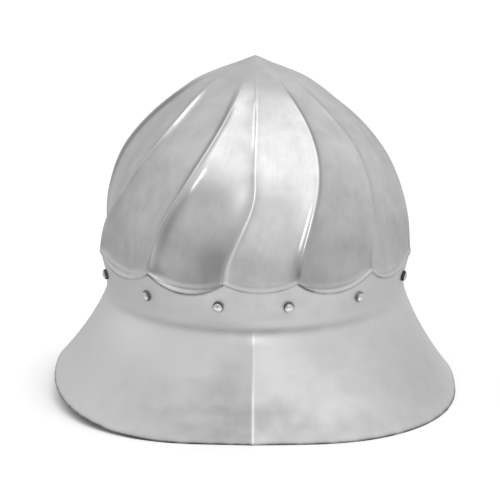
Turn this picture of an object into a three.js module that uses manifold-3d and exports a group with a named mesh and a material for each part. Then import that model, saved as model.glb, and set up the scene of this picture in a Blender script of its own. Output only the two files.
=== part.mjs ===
// Kettle helmet of sheet steel: a fluted crown drawn out over a wide sloping brim, all one sheet, with a row of
// lining rivets through the plain collar between them. Millimetres, +Z up, the wearer's face towards -Y, the brim's
// edge on the plane z = 0 and the crown's axis on x = y = 0.
import * as THREE from 'three';
import { ParametricGeometry } from 'three/addons/geometries/ParametricGeometry.js';
import { mergeVertices } from 'three/addons/utils/BufferGeometryUtils.js';
import Module from 'manifold-3d';

const wasm = await Module();
wasm.setup();

// Sheet and plan
const WALL = 1.6;
const LENGTH_TO_WIDTH = 1.16;
const ELLIPSE = 2;
const COLUMNS_PER_FLUTE = 7;

// Crown: half width over the ridge crests at each height, and how far the hammered crown stands off its axis
const APEX_HEIGHT = 231.8;
const APEX_WALL = 1.75;
const CROWN_ROWS = 13;
const crownSections = [
  { height: 88.0, halfWidth: 110.2, lean: 0.0 },
  { height: 100.0, halfWidth: 109.5, lean: 0.0 },
  { height: 112.0, halfWidth: 108.7, lean: 0.2 },
  { height: 122.0, halfWidth: 107.5, lean: 0.3 },
  { height: 134.0, halfWidth: 104.6, lean: 0.3 },
  { height: 146.0, halfWidth: 100.5, lean: 0.1 },
  { height: 158.0, halfWidth: 95.5, lean: -0.3 },
  { height: 170.0, halfWidth: 88.8, lean: -0.9 },
  { height: 182.0, halfWidth: 79.7, lean: -1.4 },
  { height: 192.0, halfWidth: 70.0, lean: -1.7 },
  { height: 201.0, halfWidth: 59.4, lean: -1.9 },
  { height: 209.0, halfWidth: 47.8, lean: -2.0 },
  { height: 216.0, halfWidth: 35.8, lean: -1.8 },
  { height: 222.0, halfWidth: 22.9, lean: -1.3 },
  { height: 226.5, halfWidth: 12.0, lean: -0.7 },
  { height: 229.5, halfWidth: 6.0, lean: -0.2 },
  { height: APEX_HEIGHT, halfWidth: 0.0, lean: 0.0 },
];

// Ridges, in degrees round from the front towards the wearer's left: the angle that each starts from and the angle
// its foot lands at, the height at which it starts to swing over, which is above the tip where it swings all the
// way, how far the flute beside it sags below the ridge feet, and the lining rivet set under the foot
const SWING_END = 98;
const ridges = [
  { top: -50.5, foot: -77.4, swingFrom: 200, sag: 9.2, rivet: -75.7 },
  { top: -5.0, foot: -40.2, swingFrom: 260, sag: 9.4, rivet: -42.9 },
  { top: 1.5, foot: -10.2, swingFrom: 162, sag: 5.4, rivet: -12.7 },
  { top: 34.0, foot: 15.5, swingFrom: 205, sag: 9.8, rivet: 12.8 },
  { top: 57.5, foot: 46.2, swingFrom: 190, sag: 9.8, rivet: 42.0 },
  { top: 89.0, foot: 78.0, swingFrom: 190, sag: 9.4, rivet: 74.9 },
  { top: 120.0, foot: 107.0, swingFrom: 190, sag: 9.4, rivet: 105.0 },
  { top: 150.0, foot: 136.0, swingFrom: 190, sag: 9.4, rivet: 135.0 },
  { top: 181.0, foot: 166.0, swingFrom: 190, sag: 9.4, rivet: 165.0 },
  { top: 212.0, foot: 196.0, swingFrom: 190, sag: 9.4, rivet: 195.0 },
  { top: 242.0, foot: 226.0, swingFrom: 190, sag: 9.4, rivet: 225.0 },
  { top: 272.0, foot: 254.5, swingFrom: 190, sag: 9.4, rivet: 254.8 },
];

// Flutes: hollows between the ridges, shallow at the top, ending in a rounded lip over the collar
const FLUTE_DEPTH = 4.2;
const FLUTE_TOP = 226;
const FLUTE_FULL = 165;
const FLUTE_POWER = 2.8;
const SCOOP_HEIGHT = 18;
const RIDGE_FOOT_HEIGHT = 100.5;
const SCALLOP_POWER = 2.2;
const LIP_BAND = 4.5;
const LIP_STEP = 0.9;
const LIP_PROUD = 0.7;

// Collar: half width at each height, widening upwards to the lip of the flutes
const CREASE_HEIGHT = 69;
const COLLAR_ROWS = 4;
const collarSections = [
  { height: CREASE_HEIGHT, halfWidth: 103.3 },
  { height: 75.0, halfWidth: 103.4 },
  { height: 82.5, halfWidth: 104.4 },
  { height: 91.0, halfWidth: 106.4 },
  { height: 101.0, halfWidth: 109.2 },
];

// Brim: flared skirt, flattened towards a keel down the front; its edge rises a little on the wearer's right
const BRIM_ROWS = 7;
const BRIM_HALF_WIDTH = 140.3;
const BRIM_FRONT_LENGTH = 158.3;
const BRIM_SQUARENESS = 2.48;
const BRIM_STRAIGHTNESS = 0.62;
const EDGE_RISE = 12;
const EDGE_RISE_START = 20;
const EDGE_RISE_FULL = 90;
const FRONT_FLATTENED = 4.2;
const FRONT_FLAT_SPREAD = 36;
const KEEL_PROUD = 1.6;
const KEEL_SPREAD = 14;
const KEEL_FULL = 0.6;
const BRIM_BACK_LENGTH = BRIM_FRONT_LENGTH - FRONT_FLATTENED + KEEL_PROUD;
const KEEL_FLUTE = 2;
const KEEL_COLUMN = KEEL_FLUTE * COLUMNS_PER_FLUTE + 3;

// Rivets: domed head outside, shank through a drilled hole, tail hammered over inside
const RIVET_HEIGHT = 84;
const RIVET_SEGMENTS = 12;
const HEAD_RADIUS = 3.6;
const HEAD_DOME = 2.4;
const HEAD_RINGS = 3;
const SHANK_RADIUS = 2.0;
const TAIL_RADIUS = 3.0;
const TAIL_THICKNESS = 1.0;
const FIT_GAP = 0.3;

const COLUMNS = ridges.length * COLUMNS_PER_FLUTE;
const FULL_TURN = 360;
const SAME_POINT = 1e-4;
const { degToRad, lerp, smoothstep } = THREE.MathUtils;

// Smooth curve through one column of a table of sections
function sectionValue(sections, column, height) {
  const last = sections.length - 2;
  const found = sections.findIndex((row) => row.height > height) - 1;
  const i = found < 0 ? (height < sections[0].height ? 0 : last) : found;
  const slopeAt = (k) => {
    const before = sections[Math.max(k - 1, 0)];
    const after = sections[Math.min(k + 1, sections.length - 1)];
    return (after[column] - before[column]) / (after.height - before.height);
  };
  const low = sections[i];
  const high = sections[i + 1];
  const run = high.height - low.height;
  const t = (height - low.height) / run;
  const lowWeight = (1 + 2 * t) * (1 - t) ** 2;
  const highWeight = t * t * (3 - 2 * t);
  const lowSlope = t * (1 - t) ** 2 * run * slopeAt(i);
  const highSlope = t * t * (t - 1) * run * slopeAt(i + 1);
  return lowWeight * low[column] + highWeight * high[column] + lowSlope + highSlope;
}

// Point of an oval plan; more squareness than an ellipse's fills out its corners
function planPoint(degrees, halfWidth, halfLength, squareness, height) {
  const across = Math.sin(degToRad(degrees));
  const along = Math.cos(degToRad(degrees));
  const fullness = (Math.abs(across) ** squareness + Math.abs(along) ** squareness) ** (-1 / squareness);
  return new THREE.Vector3(halfWidth * fullness * across, -halfLength * fullness * along, height);
}

function ridgeAngle(number, height) {
  const ridge = ridges[number % ridges.length];
  const turns = Math.floor(number / ridges.length) * FULL_TURN;
  const swing = 1 - smoothstep(height, SWING_END, ridge.swingFrom);
  return lerp(ridge.top, ridge.foot, swing) + turns;
}

// A column runs down one line of the sheet: its flute, and how far across that flute it lies
function columnPlace(column) {
  const flute = Math.floor(column / COLUMNS_PER_FLUTE);
  const across = column / COLUMNS_PER_FLUTE - flute;
  const offCentre = Math.abs(2 * across - 1);
  return { flute, across, offCentre };
}

function columnAngle(column, height) {
  const { flute, across } = columnPlace(column);
  return lerp(ridgeAngle(flute, height), ridgeAngle(flute + 1, height), across);
}

function scallopHeight(column) {
  const { flute, offCentre } = columnPlace(column);
  return RIDGE_FOOT_HEIGHT - ridges[flute].sag * (1 - offCentre ** SCALLOP_POWER);
}

function collarHalfWidth(height) {
  return sectionValue(collarSections, 'halfWidth', height);
}

// Crown surface: the ridge outline less the hollow of the flute, drawn out to the collar's line at the foot
function crownPoint(column, height) {
  const { offCentre } = columnPlace(column);
  const hollow = 1 - offCentre ** FLUTE_POWER;
  const depth = FLUTE_DEPTH * (1 - smoothstep(height, FLUTE_FULL, FLUTE_TOP));
  const fluted = sectionValue(crownSections, 'halfWidth', height) - depth * hollow;
  const foot = scallopHeight(column);
  const scoop = 1 - smoothstep(height, foot, foot + SCOOP_HEIGHT);
  const halfWidth = lerp(fluted, collarHalfWidth(foot), scoop);
  const point = planPoint(columnAngle(column, height), halfWidth, halfWidth * LENGTH_TO_WIDTH, ELLIPSE, height);
  point.x += sectionValue(crownSections, 'lean', height);
  return point;
}

function lipPoint(column, above) {
  const height = scallopHeight(column) + above;
  const halfWidth = collarHalfWidth(scallopHeight(column)) + LIP_PROUD;
  return planPoint(columnAngle(column, height), halfWidth, halfWidth * LENGTH_TO_WIDTH, ELLIPSE, height);
}

function collarPoint(column, down) {
  const height = lerp(scallopHeight(column) - LIP_STEP, CREASE_HEIGHT, down);
  const angle = lerp(columnAngle(column, SWING_END), brimAngle(column), down);
  const halfWidth = collarHalfWidth(height);
  return planPoint(angle, halfWidth, halfWidth * LENGTH_TO_WIDTH, ELLIPSE, height);
}

// On the brim the columns are evenly spaced, with one of them on the keel
function brimAngle(column) {
  return ((column - KEEL_COLUMN) * FULL_TURN) / COLUMNS;
}

function brimPoint(column, out) {
  const degrees = brimAngle(column);
  const flare = BRIM_STRAIGHTNESS * out + (1 - BRIM_STRAIGHTNESS) * out * out;
  const collarHalf = collarHalfWidth(CREASE_HEIGHT);
  const halfWidth = lerp(collarHalf, BRIM_HALF_WIDTH, flare);
  const brimLength = Math.cos(degToRad(degrees)) > 0 ? BRIM_FRONT_LENGTH : BRIM_BACK_LENGTH;
  const halfLength = lerp(collarHalf * LENGTH_TO_WIDTH, brimLength, flare);
  const sideways = Math.sin(degToRad(degrees));
  const fromMidline = THREE.MathUtils.radToDeg(Math.asin(Math.min(1, Math.abs(sideways))));
  const raised = sideways < 0 ? EDGE_RISE * smoothstep(fromMidline, EDGE_RISE_START, EDGE_RISE_FULL) : 0;
  const point = planPoint(degrees, halfWidth, halfLength, lerp(ELLIPSE, BRIM_SQUARENESS, out), 0);
  point.z = lerp(CREASE_HEIGHT, raised, out);
  const offKeel = Math.abs(degrees);
  const keel = Math.max(0, 1 - offKeel / KEEL_SPREAD) ** 2;
  const flattened = 1 - smoothstep(offKeel, 0, FRONT_FLAT_SPREAD);
  point.y += (FRONT_FLATTENED * flattened - KEEL_PROUD * keel) * smoothstep(out, 0, KEEL_FULL);
  return point;
}

// Rows of the outside, from the tip to the brim's edge; the lip rows have no counterpart inside
const outsideRows = [];
const addRow = (place, inside) => outsideRows.push({ place, inside });
for (let i = 0; i < CROWN_ROWS; i += 1) {
  const dip = Math.cos((Math.PI / 2) * (i / CROWN_ROWS));
  addRow((column) => {
    const lowest = scallopHeight(column) + LIP_BAND;
    return crownPoint(column, lerp(lowest, APEX_HEIGHT, dip));
  }, true);
}
addRow((column) => crownPoint(column, scallopHeight(column) + LIP_BAND), true);
addRow((column) => lipPoint(column, LIP_BAND / 2), false);
addRow((column) => lipPoint(column, 0), false);
for (let i = 0; i <= COLLAR_ROWS; i += 1) {
  addRow((column) => collarPoint(column, i / COLLAR_ROWS), i > 0);
}
for (let i = 1; i <= BRIM_ROWS; i += 1) {
  addRow((column) => brimPoint(column, i / BRIM_ROWS), true);
}

const columnNumbers = Array.from({ length: COLUMNS }, (unused, column) => column);
const outside = outsideRows.map((row) => columnNumbers.map((column) => row.place(column)));

// Inside of the sheet: the outside moved in by the wall, square to the surface; the edge is cut level
const skin = outside.filter((points, row) => outsideRows[row].inside);
const inside = skin.map((points, row) => points.map((point, column) => {
  if (row === 0) return point.clone().setZ(APEX_HEIGHT - APEX_WALL);
  const round = points[(column + 1) % COLUMNS].clone().sub(points[(column + COLUMNS - 1) % COLUMNS]);
  const above = skin[row - 1][column];
  const below = skin[Math.min(row + 1, skin.length - 1)][column];
  const outward = below.clone().sub(above).cross(round).normalize();
  if (row < skin.length - 1) return point.clone().addScaledVector(outward, -WALL);
  const level = outward.clone().setZ(0);
  return point.clone().addScaledVector(level, -WALL / level.lengthSq());
}));

function asManifold(geometry) {
  const bare = geometry.clone();
  bare.deleteAttribute('normal');
  bare.deleteAttribute('uv');
  const merged = mergeVertices(bare, SAME_POINT);
  const corners = [];
  for (let i = 0; i < merged.index.count; i += 3) {
    const [a, b, c] = [0, 1, 2].map((k) => merged.index.getX(i + k));
    if (a !== b && b !== c && c !== a) corners.push(a, b, c);
  }
  return new wasm.Manifold(new wasm.Mesh({
    numProp: 3,
    vertProperties: new Float32Array(merged.attributes.position.array),
    triVerts: new Uint32Array(corners),
  }));
}

function asGeometry(manifold) {
  const mesh = manifold.getMesh();
  const geometry = new THREE.BufferGeometry();
  geometry.setAttribute('position', new THREE.BufferAttribute(mesh.vertProperties, 3));
  geometry.setIndex(new THREE.BufferAttribute(mesh.triVerts, 1));
  geometry.computeVertexNormals();
  return geometry;
}

// Shell: one closed skin from the tip down the inside, round the edge and up the outside
const shellRows = [...inside, ...outside.reverse()];
const shellSkin = new ParametricGeometry((u, v, target) => {
  const row = shellRows[Math.round(v * (shellRows.length - 1))];
  target.copy(row[Math.round(u * COLUMNS) % COLUMNS]);
}, COLUMNS, shellRows.length - 1);

// A rivet's own axis runs along +Y outward from the middle of the sheet
const headBase = WALL / 2 + FIT_GAP;
const tailBase = -WALL / 2 - FIT_GAP;
const rivetProfile = [
  new THREE.Vector2(0, tailBase - TAIL_THICKNESS),
  new THREE.Vector2(TAIL_RADIUS, tailBase - TAIL_THICKNESS),
  new THREE.Vector2(TAIL_RADIUS, tailBase),
  new THREE.Vector2(SHANK_RADIUS, tailBase),
  new THREE.Vector2(SHANK_RADIUS, headBase),
];
for (let ring = 0; ring <= HEAD_RINGS; ring += 1) {
  const rise = (Math.PI / 2) * (ring / HEAD_RINGS);
  const radius = ring < HEAD_RINGS ? HEAD_RADIUS * Math.cos(rise) : 0;
  rivetProfile.push(new THREE.Vector2(radius, headBase + HEAD_DOME * Math.sin(rise)));
}
const rivetShape = new THREE.LatheGeometry(rivetProfile, RIVET_SEGMENTS);
const DRILL_LENGTH = 12;
const drillShape = new THREE.CylinderGeometry(
  SHANK_RADIUS + FIT_GAP, SHANK_RADIUS + FIT_GAP, DRILL_LENGTH, RIVET_SEGMENTS,
);

// Where a rivet goes through: the middle of the sheet, square to the collar
function rivetSeat(degrees) {
  const onSurface = (angle, height) => {
    const half = collarHalfWidth(height);
    return planPoint(angle, half, half * LENGTH_TO_WIDTH, ELLIPSE, height);
  };
  const point = onSurface(degrees, RIVET_HEIGHT);
  const round = onSurface(degrees + 1, RIVET_HEIGHT).sub(onSurface(degrees - 1, RIVET_HEIGHT));
  const up = onSurface(degrees, RIVET_HEIGHT + 1).sub(onSurface(degrees, RIVET_HEIGHT - 1));
  const outward = round.cross(up).normalize();
  const turn = new THREE.Quaternion().setFromUnitVectors(new THREE.Vector3(0, 1, 0), outward);
  const middle = point.addScaledVector(outward, -WALL / 2);
  return new THREE.Matrix4().compose(middle, turn, new THREE.Vector3(1, 1, 1));
}

const seats = ridges.map((ridge) => rivetSeat(ridge.rivet));
const drilledShell = seats.reduce(
  (shell, seat) => shell.subtract(asManifold(drillShape.clone().applyMatrix4(seat))),
  asManifold(shellSkin),
);

const steel = new THREE.MeshStandardMaterial({ color: 0xb9bbbd, roughness: 0.32, metalness: 1 });
const rivetSteel = new THREE.MeshStandardMaterial({ color: 0xc4c5c6, roughness: 0.25, metalness: 1 });

const helmet = new THREE.Group();
helmet.name = 'kettle_helmet';

const shell = new THREE.Mesh(asGeometry(drilledShell), steel);
shell.name = 'helmet_shell';
helmet.add(shell);

seats.forEach((seat, i) => {
  const rivet = new THREE.Mesh(asGeometry(asManifold(rivetShape.clone().applyMatrix4(seat))), rivetSteel);
  rivet.name = `rivet_${String(i + 1).padStart(2, '0')}`;
  helmet.add(rivet);
});

export default helmet;
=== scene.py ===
import math

import bmesh
import bpy
import numpy as np
from mathutils import Matrix, Vector, noise


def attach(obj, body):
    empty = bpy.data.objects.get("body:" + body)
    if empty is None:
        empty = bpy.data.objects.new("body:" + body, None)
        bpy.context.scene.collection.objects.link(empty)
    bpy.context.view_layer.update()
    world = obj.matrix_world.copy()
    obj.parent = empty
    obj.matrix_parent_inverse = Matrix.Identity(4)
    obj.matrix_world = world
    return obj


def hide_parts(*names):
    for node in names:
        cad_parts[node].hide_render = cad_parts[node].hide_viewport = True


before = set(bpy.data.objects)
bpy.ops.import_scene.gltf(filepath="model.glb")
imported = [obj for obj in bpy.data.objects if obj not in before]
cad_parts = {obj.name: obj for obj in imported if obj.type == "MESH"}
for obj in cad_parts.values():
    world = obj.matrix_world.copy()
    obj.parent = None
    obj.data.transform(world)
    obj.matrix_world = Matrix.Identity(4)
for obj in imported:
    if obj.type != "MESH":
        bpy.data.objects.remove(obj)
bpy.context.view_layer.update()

# Helmet shell
# One sheet of steel raised with the hammer: fluted crown, plain collar and wide brim are a single piece.
# Its flutes are sunk between twelve swirling ridges and end in a rolled lip; the brim's edge is filed round.

# Sizes are in millimetres and angles in degrees; the sheet is brought to metres where it is laid out
MILLIMETRE = 0.001
WALL = 1.6
LENGTH_TO_WIDTH = 1.16
ELLIPSE = 2.0
FULL_TURN = 360.0

# The crown's half width along the ridges at each height, and how far it leans to one side there
APEX_HEIGHT = 231.8
APEX_WALL = 1.75
CROWN_SECTIONS = [
    {"height": 88.0, "half_width": 110.2, "lean": 0.0},
    {"height": 100.0, "half_width": 109.5, "lean": 0.0},
    {"height": 112.0, "half_width": 108.7, "lean": 0.2},
    {"height": 122.0, "half_width": 107.5, "lean": 0.3},
    {"height": 134.0, "half_width": 104.6, "lean": 0.3},
    {"height": 146.0, "half_width": 100.5, "lean": 0.1},
    {"height": 158.0, "half_width": 95.5, "lean": -0.3},
    {"height": 170.0, "half_width": 88.8, "lean": -0.9},
    {"height": 182.0, "half_width": 79.7, "lean": -1.4},
    {"height": 192.0, "half_width": 70.0, "lean": -1.7},
    {"height": 201.0, "half_width": 59.4, "lean": -1.9},
    {"height": 209.0, "half_width": 47.8, "lean": -2.0},
    {"height": 216.0, "half_width": 35.8, "lean": -1.8},
    {"height": 222.0, "half_width": 22.9, "lean": -1.3},
    {"height": 226.5, "half_width": 12.0, "lean": -0.7},
    {"height": 229.5, "half_width": 5.4, "lean": -0.2},
    {"height": APEX_HEIGHT, "half_width": 0.0, "lean": 0.0},
]

# Each ridge, in degrees round from the front: the angle it keeps under the tip, the angle its swing starts
# from and the angle its foot lands at, with the heights that the swing runs between; the height its crest
# dies out at, how far it stands out, how wide it spreads and how wide a flat ribbon it ends in; how much
# wear and painted highlight brighten the crest, how much painted shade darkens the metal beside it on either
# hand and at its foot; and the rivet under its foot
SWING_END = 98.0
SWING_HIGHEST = 225.0
RIDGES = [
    {"tip": -148.0, "top": -148.0, "foot": -164.0, "swing_from": 190, "swing_to": 98, "ends": 224,
     "stand": 0.9, "spread": 3.2, "ribbon": 0.0, "wear_and_highlight": 0.4, "shade_left": 0.2, "shade_right": 0.1,
     "shade": 0.2, "rivet": -165.0, "node": "rivet_10"},
    {"tip": -118.0, "top": -118.0, "foot": -134.0, "swing_from": 190, "swing_to": 98, "ends": 220,
     "stand": 1.0, "spread": 3.0, "ribbon": 0.0, "wear_and_highlight": 0.3, "shade_left": 0.3, "shade_right": 0.0,
     "shade": 0.3, "rivet": -135.0, "node": "rivet_11"},
    {"tip": -88.0, "top": -88.0, "foot": -105.5, "swing_from": 190, "swing_to": 98, "ends": 224,
     "stand": 1.2, "spread": 5.5, "ribbon": 0.0, "wear_and_highlight": 0.3, "shade_left": 0.0, "shade_right": 0.6,
     "shade": 0.2, "rivet": -105.2, "node": "rivet_12"},
    {"tip": -50.5, "top": -50.5, "foot": -77.4, "swing_from": 200, "swing_to": 98, "ends": 226,
     "stand": 0.9, "spread": 2.4, "ribbon": 0.0, "wear_and_highlight": 0.4, "shade_left": 0.3, "shade_right": 0.0,
     "shade": 0.1, "rivet": -75.7, "node": "rivet_01"},
    {"tip": -5.0, "top": -5.0, "foot": -40.2, "swing_from": 260, "swing_to": 98, "ends": 214,
     "stand": 1.2, "spread": 3.0, "ribbon": 0.0, "wear_and_highlight": 0.3, "shade_left": 0.5, "shade_right": 0.0,
     "shade": 0.2, "rivet": -42.9, "node": "rivet_02"},
    {"tip": 5.5, "top": 1.0, "foot": -10.2, "swing_from": 162, "swing_to": 104, "ends": 228,
     "stand": 0.3, "spread": 2.4, "ribbon": 2.6, "wear_and_highlight": 0.6, "shade_left": 0.0, "shade_right": 0.0,
     "shade": 0.0, "rivet": -12.7, "node": "rivet_03"},
    {"tip": 34.0, "top": 34.0, "foot": 15.5, "swing_from": 205, "swing_to": 98, "ends": 218,
     "stand": 1.2, "spread": 4.0, "ribbon": 0.0, "wear_and_highlight": 0.3, "shade_left": 0.0, "shade_right": 0.4,
     "shade": 0.6, "rivet": 12.8, "node": "rivet_04"},
    {"tip": 57.5, "top": 57.5, "foot": 46.2, "swing_from": 190, "swing_to": 98, "ends": 222,
     "stand": 0.4, "spread": 4.0, "ribbon": 0.0, "wear_and_highlight": 0.0, "shade_left": 0.0, "shade_right": 0.15,
     "shade": 0.3, "rivet": 42.0, "node": "rivet_05"},
    {"tip": 89.0, "top": 89.0, "foot": 78.0, "swing_from": 190, "swing_to": 98, "ends": 224,
     "stand": 0.8, "spread": 3.4, "ribbon": 0.0, "wear_and_highlight": 0.2, "shade_left": 0.1, "shade_right": 0.2,
     "shade": 0.2, "rivet": 74.9, "node": "rivet_06"},
    {"tip": 120.0, "top": 120.0, "foot": 107.0, "swing_from": 190, "swing_to": 98, "ends": 222,
     "stand": 1.0, "spread": 3.0, "ribbon": 0.0, "wear_and_highlight": 0.4, "shade_left": 0.3, "shade_right": 0.1,
     "shade": 0.3, "rivet": 105.0, "node": "rivet_07"},
    {"tip": 150.0, "top": 150.0, "foot": 136.0, "swing_from": 190, "swing_to": 98, "ends": 220,
     "stand": 0.9, "spread": 3.2, "ribbon": 0.0, "wear_and_highlight": 0.3, "shade_left": 0.2, "shade_right": 0.2,
     "shade": 0.2, "rivet": 135.0, "node": "rivet_08"},
    {"tip": 181.0, "top": 181.0, "foot": 166.0, "swing_from": 190, "swing_to": 98, "ends": 224,
     "stand": 1.0, "spread": 3.0, "ribbon": 0.0, "wear_and_highlight": 0.4, "shade_left": 0.1, "shade_right": 0.2,
     "shade": 0.3, "rivet": 165.0, "node": "rivet_09"},
]

# The flute after each of those ridges: how far its lip sags and stands out, how deep its heel is scooped and
# the height over which its floor is drawn out to the lip; how much painted shade darkens the step under the
# lip and the line where the lip was rolled, and how much painted shade darkens its two lower corners
FLUTES = [
    {"sag": 9.4, "lip": 0.5, "heel": 1.1, "drawn": 8.0,
     "shade": 0.6, "rolled": 0.3, "left_corner": 0.1, "right_corner": 0.1},
    {"sag": 9.4, "lip": 0.5, "heel": 0.9, "drawn": 9.0,
     "shade": 0.5, "rolled": 0.2, "left_corner": 0.0, "right_corner": 0.2},
    {"sag": 9.4, "lip": 0.5, "heel": 1.2, "drawn": 8.0,
     "shade": 0.7, "rolled": 0.3, "left_corner": 0.1, "right_corner": 0.0},
    {"sag": 9.2, "lip": 0.4, "heel": 1.9, "drawn": 7.0,
     "shade": 0.5, "rolled": 0.3, "left_corner": 0.0, "right_corner": 0.0},
    {"sag": 9.4, "lip": 0.6, "heel": 1.5, "drawn": 7.0,
     "shade": 1.0, "rolled": 0.5, "left_corner": 0.0, "right_corner": 0.4},
    {"sag": 5.4, "lip": 0.1, "heel": 0.1, "drawn": 26.0,
     "shade": 0.5, "rolled": 0.1, "left_corner": 0.0, "right_corner": 0.0},
    {"sag": 9.8, "lip": 0.4, "heel": 0.5, "drawn": 10.0,
     "shade": 0.8, "rolled": 0.4, "left_corner": 0.15, "right_corner": 0.0},
    {"sag": 9.8, "lip": 0.3, "heel": 0.6, "drawn": 12.0,
     "shade": 0.5, "rolled": 0.2, "left_corner": 0.0, "right_corner": 0.0},
    {"sag": 9.4, "lip": 0.5, "heel": 1.0, "drawn": 8.0,
     "shade": 0.6, "rolled": 0.3, "left_corner": 0.1, "right_corner": 0.1},
    {"sag": 9.4, "lip": 0.5, "heel": 1.2, "drawn": 9.0,
     "shade": 0.7, "rolled": 0.4, "left_corner": 0.0, "right_corner": 0.2},
    {"sag": 9.4, "lip": 0.5, "heel": 0.9, "drawn": 8.0,
     "shade": 0.6, "rolled": 0.2, "left_corner": 0.2, "right_corner": 0.0},
    {"sag": 9.4, "lip": 0.5, "heel": 1.1, "drawn": 9.0,
     "shade": 0.5, "rolled": 0.3, "left_corner": 0.1, "right_corner": 0.1},
]

# How deep the flutes are and where they die out under the tip, with half a flute's share of the crown's half
# width; then the shape of a crest, sharp outside and softer inside
FLUTE_DEPTH = 4.2
FLUTE_TOP = 222.0
FLUTE_FULL = 198.0
HALF_FLUTE = 0.28
CREST_SHARE = 0.5
CREST_SPREAD = 1.0
CREST_ROUND = 0.8
CREST_FADE = 12.0
RIBBON_START = 155.0
INSIDE_CREST_SHARE = 0.25
INSIDE_CREST_SPREAD = 2.0
INSIDE_CREST_ROUND = 5.0

# The scalloped line that the flutes end at, the heels scooped above it and the lip rolled along it
RIDGE_FOOT_HEIGHT = 100.5
SCALLOP_POWER = 2.2
HEEL_HEIGHT = 8.0
HEEL_POWER = 3
LIP_UNDER = -0.7
LIP_EDGE = 0.4
LIP_BACK = 2.6
LIP_ABOVE = 7.0
LIP_BELOW = 2.0

# The collar's half width at each height, down to the crease where the brim turns out
CREASE_HEIGHT = 69.0
CREASE_SOFTNESS = 0.05
COLLAR_SECTIONS = [
    {"height": CREASE_HEIGHT, "half_width": 103.3},
    {"height": 75.0, "half_width": 103.4},
    {"height": 82.5, "half_width": 104.4},
    {"height": 91.0, "half_width": 106.4},
    {"height": 101.0, "half_width": 109.2},
]

# The brim's edge with its rise on the wearer's right, and the front of the brim, flattened beside its keel
BRIM_HALF_WIDTH = 140.3
BRIM_FRONT_LENGTH = 158.3
BRIM_SQUARENESS = 2.48
BRIM_STRAIGHTNESS = 0.62
EDGE_BAND = 0.9
EDGE_RISE = 12.0
EDGE_RISE_START = 20.0
EDGE_RISE_FULL = 90.0
FRONT_FLATTENED = 4.2
FRONT_FLAT_SPREAD = 36.0
FRONT_FLAT_FULL = 0.6
KEEL_PROUD = 1.6
KEEL_SPREAD = 14.0
KEEL_START = 0.05
KEEL_FULL = 0.15
BRIM_BACK_LENGTH = BRIM_FRONT_LENGTH - FRONT_FLATTENED + KEEL_PROUD

# Lines of the sheet: columns run down it, drawn together at the ridges above and at the keel below
COLUMNS_PER_FLUTE = 24
RIDGE_GATHER = 0.8
COLUMNS = COLUMNS_PER_FLUTE * len(RIDGES)
KEEL_FLUTE = 5
KEEL_COLUMNS_IN = 10
KEEL_COLUMN = KEEL_FLUTE * COLUMNS_PER_FLUTE + KEEL_COLUMNS_IN
KEEL_GATHER = 1.08
KEEL_GATHER_COLUMNS = 8.0
CROWN_ROWS = 48
LIP_ROWS = 22
COLLAR_ROWS = 14
BRIM_ROWS = 46
INSIDE_BRIM_ROWS = 16
INSIDE_COLLAR_ROWS = 8
INSIDE_CROWN_ROWS = 34
HALF_WAY = 0.5

columns = np.arange(COLUMNS + 1)
flute_number = columns // COLUMNS_PER_FLUTE
even_across = columns / COLUMNS_PER_FLUTE - flute_number
across_flute = even_across - RIDGE_GATHER * np.sin(2 * math.pi * even_across) / (2 * math.pi)
off_centre = np.abs(2 * across_flute - 1)
nearest_ridge = flute_number + (across_flute > HALF_WAY)


def table_column(table, name, number):
    """One column of a table, at row numbers that may run on past its end."""
    return np.array([row[name] for row in table])[number % len(table)]


def smooth_step(value, low, high):
    """0 below low and 1 above high, with an easy rise between."""
    share = np.clip((value - low) / (high - low), 0, 1)
    return share * share * (3 - 2 * share)


def between(first, second, share):
    return first + (second - first) * share


def band(value, centre, width):
    """A soft band, full in its middle and all but gone two widths away."""
    return np.exp(-(((value - centre) / width) ** 2))


def section_curve(sections, name, height):
    """Smooth curve through one column of a table of sections."""
    heights = np.array([row["height"] for row in sections])
    values = np.array([row[name] for row in sections])
    numbers = np.arange(len(sections))
    before = np.maximum(numbers - 1, 0)
    after = np.minimum(numbers + 1, len(sections) - 1)
    slopes = (values[after] - values[before]) / (heights[after] - heights[before])
    low = np.clip(np.searchsorted(heights, height, side="right") - 1, 0, len(sections) - 2)
    run = heights[low + 1] - heights[low]
    share = (height - heights[low]) / run
    left_over = 1 - share
    from_low = (1 + 2 * share) * values[low] + share * run * slopes[low]
    from_high = (3 - 2 * share) * values[low + 1] - left_over * run * slopes[low + 1]
    return from_low * left_over ** 2 + from_high * share ** 2


def plan_points(degrees, half_width, half_length, squareness, height):
    """Points of an oval plan; more squareness than an ellipse's fills out its corners."""
    sideways = np.sin(np.radians(degrees))
    forward = np.cos(np.radians(degrees))
    fullness = (np.abs(sideways) ** squareness + np.abs(forward) ** squareness) ** (-1 / squareness)
    x = half_width * fullness * sideways
    y = -half_length * fullness * forward
    return np.stack(np.broadcast_arrays(x, y, height), axis=-1)


def ridge_angle(number, height):
    """Where a ridge runs at a height: it swings round above its foot and may turn again under the tip."""
    swing_from = table_column(RIDGES, "swing_from", number)
    top = table_column(RIDGES, "top", number)
    swing = 1 - smooth_step(height, table_column(RIDGES, "swing_to", number), swing_from)
    angle = between(top, table_column(RIDGES, "foot", number), swing)
    under_tip = smooth_step(height, np.minimum(swing_from, SWING_HIGHEST), APEX_HEIGHT)
    angle = angle + (table_column(RIDGES, "tip", number) - top) * under_tip
    return angle + FULL_TURN * (number // len(RIDGES))


def flute_angle(height):
    this_ridge = ridge_angle(flute_number, height)
    next_ridge = ridge_angle(flute_number + 1, height)
    return between(this_ridge, next_ridge, across_flute)


def brim_angle():
    """Angle of each column on the brim, even all round but for those drawn together at the keel."""
    from_keel = columns - KEEL_COLUMN
    even = from_keel * FULL_TURN / COLUMNS
    return even - KEEL_GATHER * from_keel * band(from_keel, 0, KEEL_GATHER_COLUMNS)


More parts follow.
